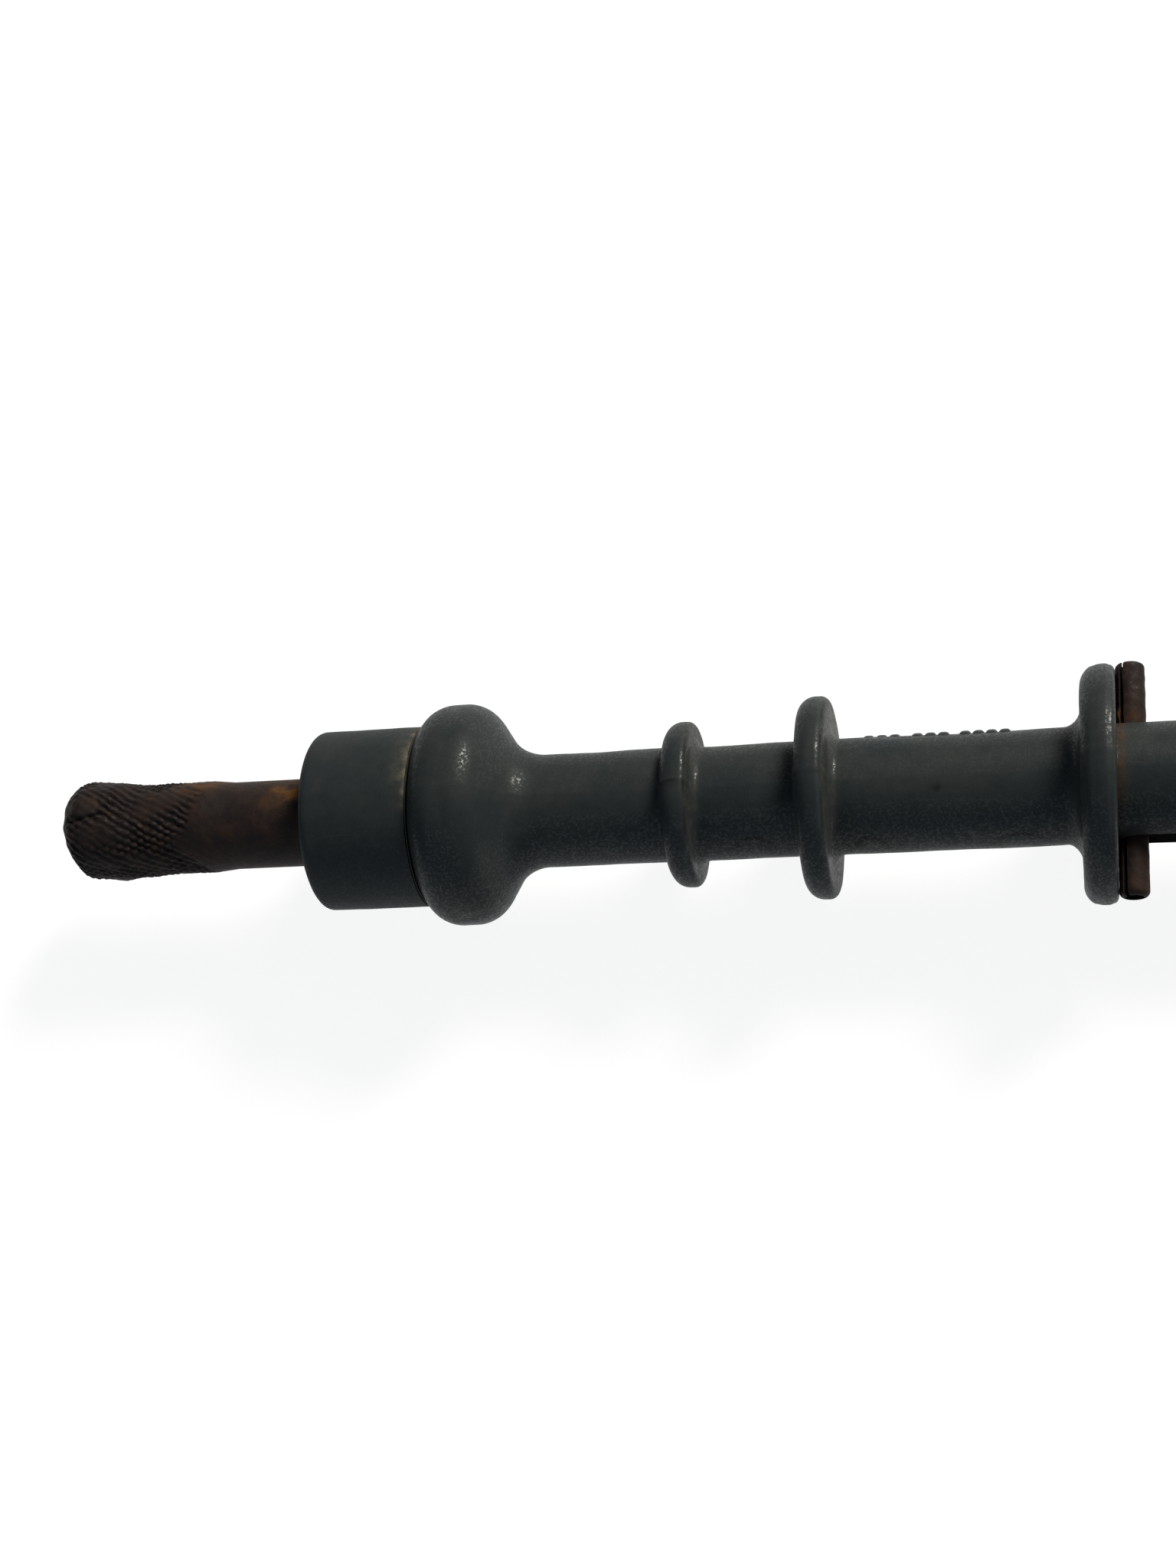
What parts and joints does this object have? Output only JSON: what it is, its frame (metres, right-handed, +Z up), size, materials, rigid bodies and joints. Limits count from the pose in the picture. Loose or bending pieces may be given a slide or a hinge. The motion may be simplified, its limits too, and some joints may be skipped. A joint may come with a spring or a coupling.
{
  "type": "cable release plunger handle",
  "caption": "Plunger handle of a cable shutter release: knurled thumb plunger, moulded ribbed grip with finger flange, cross pin in a slotted barrel, screw gland for the cable.",
  "frame": {"origin": "on the handle's axis at the mouth of the cable socket in the gland", "axes": "+X along the handle and out towards the cable, with the thumb plunger at -X; the cross pin lies along Y; the moulding parts on the XZ plane and +Z is up when the handle lies on a table"},
  "size_m": [0.1495, 0.0208, 0.0202],
  "materials": {
    "grip_moulding": "dull moulded phenolic, dusty and scuffed",
    "collar_moulding": "dull turned phenolic, lightly scuffed",
    "rusty_steel": "old knurled steel, evenly rusted dark brown",
    "rusty_pin": "rolled spring pin, rusted, worn bright in spots",
    "brass": "turned",
    "aged_brass": "tarnished",
    "plain_steel": "plain",
    "plated_steel": "dull nickel plate",
    "spring_steel": "oiled spring wire",
    "rubber": "matte",
    "nylon": "natural nylon",
    "felt": "oiled felt",
    "fibre": "vulcanised fibre"
  },
  "bodies": {
    "grip": {"grip_body": "grip_moulding", "guide_collar": "collar_moulding", "wiper_ring": "felt", "plunger_bush": "brass", "collar_gasket": "fibre", "rear_bush": "nylon", "return_spring": "spring_steel", "spring_seat": "plain_steel", "end_ferrule": "plated_steel", "lock_washer": "plated_steel", "gland_body": "aged_brass", "sheath_seal": "rubber", "sheath_collet": "nylon", "gland_nut": "aged_brass"},
    "plunger": {"plunger_rod": "rusty_steel", "cross_pin": "rusty_pin", "buffer_washer": "rubber", "wire_clamp": "brass", "clamp_screw": "plain_steel", "spring_cup": "plain_steel"}
  },
  "joints": [
    {"name": "plunger_press", "type": "slide", "parent": "grip", "child": "plunger", "axis": [1, 0, 0], "range_m": [0, 0.008], "stiffness_N_per_m": 250, "springref_m": -0.012, "deforming": ["return_spring"]}
  ]
}
